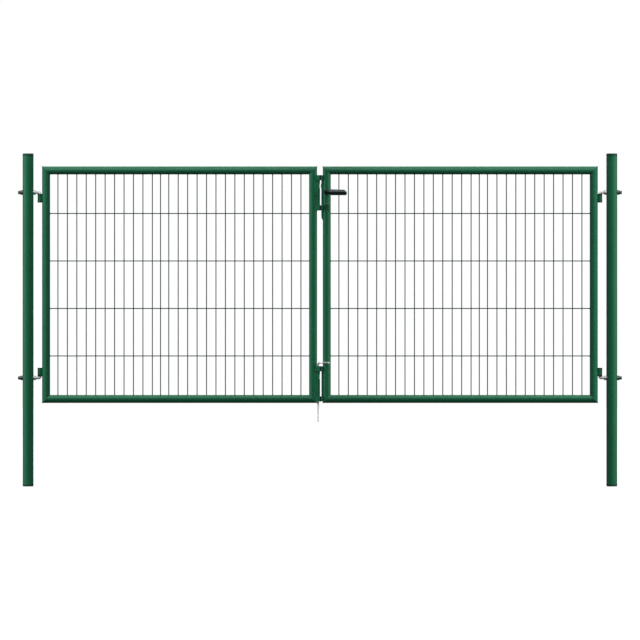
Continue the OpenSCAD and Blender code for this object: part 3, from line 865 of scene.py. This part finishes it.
class GATE_OT_shade_edges(bpy.types.Operator):
    """Near-black edges and lug sleeves on the two centre brackets, painted shade"""
    bl_idname = "gate.seals"
    bl_label = "Shade edges"

    def execute(self, context):
        sizes = context.scene.gate_sizes
        thick = sizes.seal
        for name in BRACKETS["left"]:
            low, high = span(name)
            points = vertices(name)
            half = high[1]
            face = points[points[:, 1] > 0, 0].max()
            heights = points[points[:, 0] > high[0] - 1e-5, 2]
            lug = heights[heights < (low[2] + high[2]) / 2].max() - low[2]
            slot = points[(np.abs(points[:, 1]) < half / 2) & (points[:, 0] > face - 1e-5), 2]
            slot = slot[(slot > low[2] + lug) & (slot < high[2] - 1e-5)]
            strips = [shade_edge_strip(face, half, 0.005, foot, top, thick)
                      for foot, top in ((low[2], slot.min()), (slot.max(), high[2]))]
            bands = shade_sleeves(face, low, high, half, lug, thick, sizes.sleeve)
            # Strips and sleeves are near-black, painted shade.
            piece(name + "_shade_edge", strips + bands, "left_leaf", "shade_black")
        return {"FINISHED"}


# ---- Lock ----

def screw(centre, axis, radius):
    """Countersunk screw head: a low dome with a cross cut into it, whose depth falls off from
    the two lines of the cross."""
    angle = circle(48)
    share = np.linspace(1, 0.04, 12)[:, None]
    height = 0.0004 * (1 - share ** 2) * np.ones((1, 48))
    side, other = square_to(axis)
    a, b = share * radius * np.cos(angle), share * radius * np.sin(angle)
    near = np.minimum(np.abs(a), np.abs(b))
    height -= 0.0007 * np.clip(1 - near / (radius * 0.16), 0, 1) * (share < 0.62)
    foot = np.concatenate([height[:1] - 0.0006, height])
    a, b = np.concatenate([a[:1], a]), np.concatenate([b[:1], b])
    return skin(centre + foot[..., None] * axis + a[..., None] * side + b[..., None] * other)


def latch_nose():
    """Latch bolt: a rounded bar whose nose slopes on the back over its first millimetres, from
    full width to a rounded edge."""
    low, high = span("latch_bolt")
    half_y, half_z = (high[1] - low[1]) / 2, (high[2] - low[2]) / 2
    a, b = rectangle(half_y, half_z, 0.0015).T
    nose, bevel = 0.0036, 0.004
    x = np.array([0, 0.0004, 0.0012, 0.0024, nose, 0.006, high[0] - low[0]])
    slope = np.clip(1 - x / nose, 0, 1)[:, None]
    a = a * (1 - 0.06 * slope) - bevel * slope * (a > 0)
    b = b * (1 - 0.05 * slope ** 2)
    start = np.array([low[0], 0, (low[2] + high[2]) / 2])
    piece("latch_bolt_nose",
          [skin(start + x[:, None, None] * X + a[..., None] * Y + b[..., None] * Z)],
          "right_leaf", "bare steel", replaces=("latch_bolt",), sharp=25)


def lock_faceplate(sizes):
    """Faceplate on the edge of the lock's plate, held by a screw near each end."""
    low, high = span("lock_plate")
    face, thick, inset = low[0], 0.0008, 0.010
    bottom, top = low[2] + 0.022, high[2] - 0.006
    outline = rectangle(sizes.faceplate, (top - bottom) / 2, 0.004, 9)
    plate = plates(outline, np.array([face, 0, (top + bottom) / 2]), -X,
                   [[-0.001, 0], [0.0005, 0], [thick, 0.0003], [thick, 0.002]], side=Y)
    heads = [screw(np.array([face - thick, 0, z]), -X, sizes.face_screw)
             for z in (top - inset, bottom + inset)]
    piece("lock_faceplate", [plate] + heads, "right_leaf", "bare steel",
          sharp=25)


def key_cylinder():
    """Key cylinder: a body with a bevelled edge, whose outline is a large arc above a narrow
    neck with a round foot, and at each end the plug that turns, with its keyway."""
    low, high = span("key_cylinder")
    radius, reach = (high[0] - low[0]) / 2, high[1]
    middle = np.array([(low[0] + high[0]) / 2, 0, high[2] - radius])
    neck, plug = 0.0048, 0.0062
    foot = middle[2] - low[2] - neck
    t, u = np.linspace(-0.94, pi + 0.94, 33), np.linspace(pi, 2 * pi, 13)
    outline = np.concatenate([
        np.stack([radius * np.cos(t), radius * np.sin(t)], -1),
        np.stack([neck * np.cos(u), -foot + neck * np.sin(u)], -1)])
    skins = [plates(outline, middle, Y, [[-reach, 0.0006], [-reach + 0.0005, 0],
                                         [reach - 0.0005, 0], [reach, 0.0006]])]
    slot = rounded([[-0.0006, -0.0042], [0.0006, -0.0042], [0.0006, 0.0040],
                    [-0.0006, 0.0040]], 0.0004, 3)
    slots = []
    for way in FACES.values():
        head = middle + way * reach * Y
        skins.append(lathe([[plug, -0.001], [plug, 0.0003], [plug - 0.0004, 0.0006],
                            [0.0020, 0.0006], [0.0002, 0.0006]], head, way * Y, 48))
        slots.append(plates(slot, head, way * Y, [[0, 0], [0.0007, 0]]))
    piece("key_cylinder_body", skins, "right_leaf", "cylinder coating",
          replaces=("key_cylinder",), sharp=25)
    # The keyway is a flat near-black slot on each plug's face, painted shade for its recess.
    piece("keyway", slots, "right_leaf", "shade_black", sharp=25)


def key_plate(side, way, sizes):
    """Key plate: a bevelled oval on one side of the stile, held by a screw near each end."""
    name = f"{side}_key_plate"
    low, high = span(name)
    middle = (low + high) / 2
    half_x, half_z = (high[0] - low[0]) / 2, (high[2] - low[2]) / 2
    root, face = (high[1], low[1]) if way < 0 else (low[1], high[1])
    thick, inset = abs(face - root), 0.0036
    oval = plates(rectangle(half_x, half_z, half_x * 0.98, 17),
                  np.array([middle[0], root, middle[2]]), way * Y,
                  [[0, 0], [thick - 0.0012, 0], [thick - 0.0004, 0.0004], [thick, 0.0014],
                   [thick, 0.004]])
    piece(name + "_detail", [oval], "right_leaf", "green coating",
          replaces=(name,), sharp=25)
    heads = [screw(np.array([middle[0], face, middle[2] + end * (half_z - inset)]), way * Y,
                   sizes.oval_screw) for end in (-1, 1)]
    piece(name + "_screws", heads, "right_leaf", "bare steel", sharp=25)


class GATE_OT_lock(bpy.types.Operator):
    """The lock's latch bolt, faceplate, key cylinder, key plates and screws"""
    bl_idname = "gate.lock"
    bl_label = "Lock"

    def execute(self, context):
        sizes = context.scene.gate_sizes
        latch_nose()
        lock_faceplate(sizes)
        key_cylinder()
        for side, way in FACES.items():
            key_plate(side, way, sizes)
        return {"FINISHED"}


# ---- Lever handle ----

def lever_grip(side, way, bend):
    """Lever: a section carried out along Y and round a bend into the grip along X. It passes
    from a circle to the grip's faceted section, its top slopes down to a rounded tip, and the
    upper half of the tip is cut back."""
    low, high = span(f"{side}_lever")
    axis = np.mean(span(f"{side}_rose"), 0)
    outer = low[1] if way < 0 else high[1]
    half_z = high[2] - axis[2]
    half_depth, neck = 0.009, 0.0100
    tip_run, slope, cut_back = 0.03, 0.0035, 0.010
    middle_y = outer - way * half_depth
    stile = span("right_inner_stile")[1][1]
    start = np.array([axis[0], way * (stile + 0.0005), axis[2]])
    turn = np.array([axis[0], middle_y, axis[2]])
    end = np.array([high[0], middle_y, axis[2]])
    total = bend_length(start, turn, end, bend)
    elbow = abs(turn[1] - start[1]) - bend
    s = np.unique(np.concatenate([
        np.linspace(0, elbow, 8), np.linspace(elbow, elbow + bend * pi / 2, 22),
        np.linspace(elbow + bend * pi / 2, total - 0.02, 16),
        total - 0.02 * (1 - np.sin(np.linspace(0, pi / 2, 22)))]))
    centre, _, inside = along_bend(s, start, turn, end, bend)
    grip = rounded(np.array([[-1, -0.72], [-0.5, -1], [1, -0.12], [1, 0.12], [-0.5, 1],
                             [-1, 0.72]]) * [half_depth, half_z], 0.0022, 7)
    angle = np.arctan2(grip[:, 1], grip[:, 0])
    share = np.clip((s - elbow * 0.6) / (bend * pi / 2 + elbow * 0.4), 0, 1)
    share = (share * share * (3 - 2 * share))[:, None]
    swell = neck * (1 + 0.12 * np.clip(1 - s / 0.004, 0, 1) ** 2)[:, None]
    tip = (0.35 + 0.65 * eased(total - s + 0.0001, 0.004))[:, None]
    a = (np.cos(angle) * swell * (1 - share) + grip[None, :, 0] * share) * tip
    b = (np.sin(angle) * swell * (1 - share) + grip[None, :, 1] * share) * tip
    stack = rings(centre, -inside, np.repeat(Z[None], len(s), 0), a, b)
    above = np.clip((stack[..., 2] - axis[2]) / half_z, 0, 1)
    along = np.clip((stack[..., 0] - axis[0]) / (high[0] - axis[0]), 0, 1)
    stack[..., 2] -= slope * along * above
    near_tip = np.clip((stack[..., 0] - (high[0] - tip_run)) / tip_run, 0, 1)
    stack[..., 0] -= cut_back * near_tip * np.clip(above / 0.4, 0, 1)
    piece(f"{side}_lever_grip", [skin(stack)], "lever", "lever plastic",
          replaces=(f"{side}_lever",), sharp=50)


def rose(side, way):
    """Rose round the lever's neck: a disc with a rounded edge, a groove and a recess that the
    neck turns in."""
    name = f"{side}_rose"
    low, high = span(name)
    radius, face = (high[0] - low[0]) / 2, abs(low[1] if way < 0 else high[1])
    groove, recess, deep = 0.0005, 0.0102, 0.004
    profile = np.concatenate([
        [[radius, face - 0.014]], rounded_edge(radius, face, 0.0018)[::-1],
        [[radius - 0.0045, face], [radius - 0.0050, face - groove],
         [radius - 0.0056, face - groove], [radius - 0.0061, face], [0.0108, face],
         [recess, face - 0.0006], [recess, face - deep], [0.0005, face - deep]]])
    origin = np.mean([low, high], 0) * [1, 0, 1]
    piece(name + "_detail", [lathe(profile, origin, way * Y, 72)], "right_leaf",
          "lever plastic", replaces=(name,), sharp=30)


class GATE_OT_lever(bpy.types.Operator):
    """Moulded levers on the front and back, and the roses that they turn in"""
    bl_idname = "gate.lever"
    bl_label = "Lever handle"

    def execute(self, context):
        for side, way in FACES.items():
            lever_grip(side, way, context.scene.gate_sizes.lever_bend)
            rose(side, way)
        return {"FINISHED"}


# ---- Stage ----

def cleared(owner):
    """The emptied node tree of a new world or material."""
    owner.use_nodes = True
    owner.node_tree.nodes.clear()
    return owner.node_tree


def seen(tree):
    """1 for camera, glossy and transmission rays, and 0 for the others."""
    rays = node(tree, "ShaderNodeLightPath")
    both = node(tree, "ShaderNodeMath", {0: rays.outputs["Is Camera Ray"],
                                         1: rays.outputs["Is Glossy Ray"]}, operation="MAXIMUM")
    return node(tree, "ShaderNodeMath", {0: both.outputs[0],
                                         1: rays.outputs["Is Transmission Ray"]},
                operation="MAXIMUM").outputs[0]


def surroundings():
    """Even white to the eye and to reflections; for the light on the gate a soft dome, pale blue
    and brighter above."""
    world = bpy.data.worlds.new("studio")
    tree = cleared(world)
    way = node(tree, "ShaderNodeTexCoord").outputs["Generated"]
    height = node(tree, "ShaderNodeSeparateXYZ", {"Vector": way}).outputs["Z"]
    soft = node(tree, "ShaderNodeBackground",
                {"Color": (0.9, 0.95, 1.0, 1),
                 "Strength": ranged(tree, height, 0.0, 0.5, 0.15, 0.95)})
    white = node(tree, "ShaderNodeBackground", {"Color": (1, 1, 1, 1), "Strength": 1.0})
    mixed = node(tree, "ShaderNodeMixShader", {0: seen(tree), 1: soft.outputs[0],
                                               2: white.outputs[0]})
    node(tree, "ShaderNodeOutputWorld", {"Surface": mixed.outputs[0]})
    return world


def pale_floor(middle):
    """Matt floor that also glows for the eye, by 0.87 up to 2.5 metres from the gate's middle
    and by 1 from 6 metres on, so that it keeps the gate's shadow and runs into the white."""
    material = bpy.data.materials.new("pale floor")
    tree = cleared(material)
    place = node(tree, "ShaderNodeTexCoord").outputs["Object"]
    shade = ranged(tree, noise(tree, place, 60.0, 2.0), 0.0, 1.0, 0.115, 0.125)
    matt = node(tree, "ShaderNodeBsdfDiffuse", {"Color": shade})
    away = node(tree, "ShaderNodeVectorMath", {0: place, 1: (middle, 0, 0)},
                operation="DISTANCE").outputs["Value"]
    glow = node(tree, "ShaderNodeEmission",
                {"Color": (1, 1, 1, 1), "Strength": ranged(tree, away, 2.5, 6.0, 0.87, 1.0)})
    lit = node(tree, "ShaderNodeAddShader", {0: matt.outputs[0], 1: glow.outputs[0]})
    mixed = node(tree, "ShaderNodeMixShader", {0: seen(tree), 1: matt.outputs[0],
                                               2: lit.outputs[0]})
    node(tree, "ShaderNodeOutputMaterial", {"Surface": mixed.outputs[0]})
    return material


def dark_card():
    """Near-black material without gloss."""
    material = bpy.data.materials.new("dark card")
    material.use_nodes = True
    shader = material.node_tree.nodes["Principled BSDF"]
    shader.inputs["Base Color"].default_value = (0.02, 0.02, 0.02, 1)
    shader.inputs["Specular IOR Level"].default_value = 0.0
    return material


def bright_card(name, strength):
    """Plain white glow of a given strength."""
    material = bpy.data.materials.new(name)
    tree = cleared(material)
    light = node(tree, "ShaderNodeEmission", {"Strength": strength})
    node(tree, "ShaderNodeOutputMaterial", {"Surface": light.outputs[0]})
    return material


def sheet(name, corner, side, other, material):
    """Flat sheet: corner + u * side + v * other, with u and v from 0 to 1."""
    u, v = np.meshgrid(np.linspace(0, 1, 2), np.linspace(0, 1, 2))
    points = (np.asarray(corner, float) + u.reshape(-1, 1) * np.asarray(side, float)
              + v.reshape(-1, 1) * np.asarray(other, float))
    mesh = bpy.data.meshes.new(name)
    mesh.from_pydata(points.tolist(), [], [(0, 1, 3, 2)])
    mesh.materials.append(material)
    made = bpy.data.objects.new(name, mesh)
    bpy.context.scene.collection.objects.link(made)
    made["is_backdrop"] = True
    return made


def card(name, corner, side, other, material):
    """Sheet that only reflections see. The front divider shades the lamps as well."""
    made = sheet(name, corner, side, other, material)
    made.visible_camera = made.visible_diffuse = made.visible_transmission = False
    made.visible_shadow = name == "front_divider"


def cards(middle):
    """Dark cards behind, in front, below and between the leaves, and bright ones on the left, on
    the right and above in front."""
    far, wide, near, back = 12.0, 6.5, -7.0, 2.2
    side, front, lift = 9.0, -2.6, 0.02
    dark = dark_card()
    for name, corner, along, other in (
            ("back_card", (middle - far, back, lift), (2 * far, 0, 0), (0, 0, 4.5)),
            ("front_card", (middle - wide, near, lift), (2 * wide, 0, 0), (0, 0, 3.2)),
            ("low_card", (middle - far, near, 0.01), (2 * far, 0, 0), (0, back - near, 0)),
            ("front_divider", (middle, -3.4, lift), (0, 3.37, 0), (0, 0, 2.4)),
            ("back_divider", (middle, 0.03, lift), (0, back - 0.03, 0), (0, 0, 2.4))):
        card(name, corner, along, other, dark)
    for name, corner, along, other, strength in (
            ("left_glow", (middle - side, front, lift), (0, 3.0, 0), (0, 0, 3.5), 2.6),
            ("right_glow", (middle + side, front, lift), (0, 3.0, 0), (0, 0, 3.5), 2.6),
            ("upper_glow", (middle - far, -6.5, 3.3), (2 * far, 0, 0), (0, 6.5, 5.0), 2.2)):
        card(name, corner, along, other, bright_card(name, strength))


def lamp(name, place, target, width, height, power):
    """Soft rectangular lamp, aimed at a target."""
    data = bpy.data.lights.new(name, "AREA")
    data.shape = "RECTANGLE"
    data.size, data.size_y = width, height
    data.energy = power
    made = bpy.data.objects.new(name, data)
    made.location = place
    made.rotation_euler = (Vector(target) - Vector(place)).to_track_quat("-Z", "Z").to_euler()
    made.visible_glossy = False
    bpy.context.scene.collection.objects.link(made)


def lamps(middle):
    """Two lamps from the sides, one from high above in front and a weak one from behind."""
    height = 0.9
    for name, way in (("left lamp", -1), ("right lamp", 1)):
        lamp(name, (middle + way * 12, -3.2, 4.6), (middle + way * 0.5, 0, height),
             3.0, 3.0, 1500)
    lamp("upper lamp", (middle, -3.4, 12.5), (middle, 0, height), 8.0, 2.0, 1100)
    lamp("back lamp", (middle, 3.6, 5.0), (middle, 0, height), 5.0, 1.6, 120)


def camera(middle):
    """Camera far in front, level and straight on, with a long lens."""
    data = bpy.data.cameras.new("camera")
    data.lens, data.sensor_width = 240, 36
    made = bpy.data.objects.new("camera", data)
    made.location = (middle + 0.0004, -22.368, 0.872)
    made.rotation_euler = (radians(90), 0, 0)
    bpy.context.scene.collection.objects.link(made)
    return made


class GATE_OT_stage(bpy.types.Operator):
    """Plain pale floor, white surroundings, reflection cards, soft lamps and camera"""
    bl_idname = "gate.stage"
    bl_label = "Stage"

    def execute(self, context):
        scene = context.scene
        scene.view_settings.view_transform = "Standard"
        low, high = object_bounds()
        middle = (low[0] + high[0]) / 2
        scene.world = surroundings()
        sheet("floor", (middle - 20, -20, -0.001), (40, 0, 0), (0, 40, 0), pale_floor(middle))
        cards(middle)
        lamps(middle)
        scene.camera = camera(middle)
        return {"FINISHED"}


class GATE_PT_panel(bpy.types.Panel):
    """Lists the steps that dress the gate"""
    bl_idname = "GATE_PT_panel"
    bl_label = "Double garden gate"
    bl_space_type = "VIEW_3D"
    bl_region_type = "UI"
    bl_category = "Gate"

    def draw(self, context):
        for step in STEPS:
            self.layout.operator(step.bl_idname)
        for group in (context.scene.gate_sizes, context.scene.gate_colours):
            box = self.layout.box()
            for name in group.__annotations__:
                box.prop(group, name)


STEPS = (GATE_OT_finishes, GATE_OT_mesh_panels, GATE_OT_welds, GATE_OT_hinges,
         GATE_OT_post_ends, GATE_OT_drop_bolt, GATE_OT_shade_edges, GATE_OT_lock, GATE_OT_lever,
         GATE_OT_stage)
CLASSES = (GateSizes, GateColours) + STEPS + (GATE_PT_panel,)


def register():
    for kind in CLASSES:
        bpy.utils.register_class(kind)
    bpy.types.Scene.gate_sizes = PointerProperty(type=GateSizes)
    bpy.types.Scene.gate_colours = PointerProperty(type=GateColours)


def unregister():
    del bpy.types.Scene.gate_colours
    del bpy.types.Scene.gate_sizes
    for kind in reversed(CLASSES):
        bpy.utils.unregister_class(kind)


def main():
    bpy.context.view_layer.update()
    register()
    for step in STEPS:
        group, name = step.bl_idname.split(".")
        getattr(getattr(bpy.ops, group), name)()


if __name__ == "__main__":
    main()
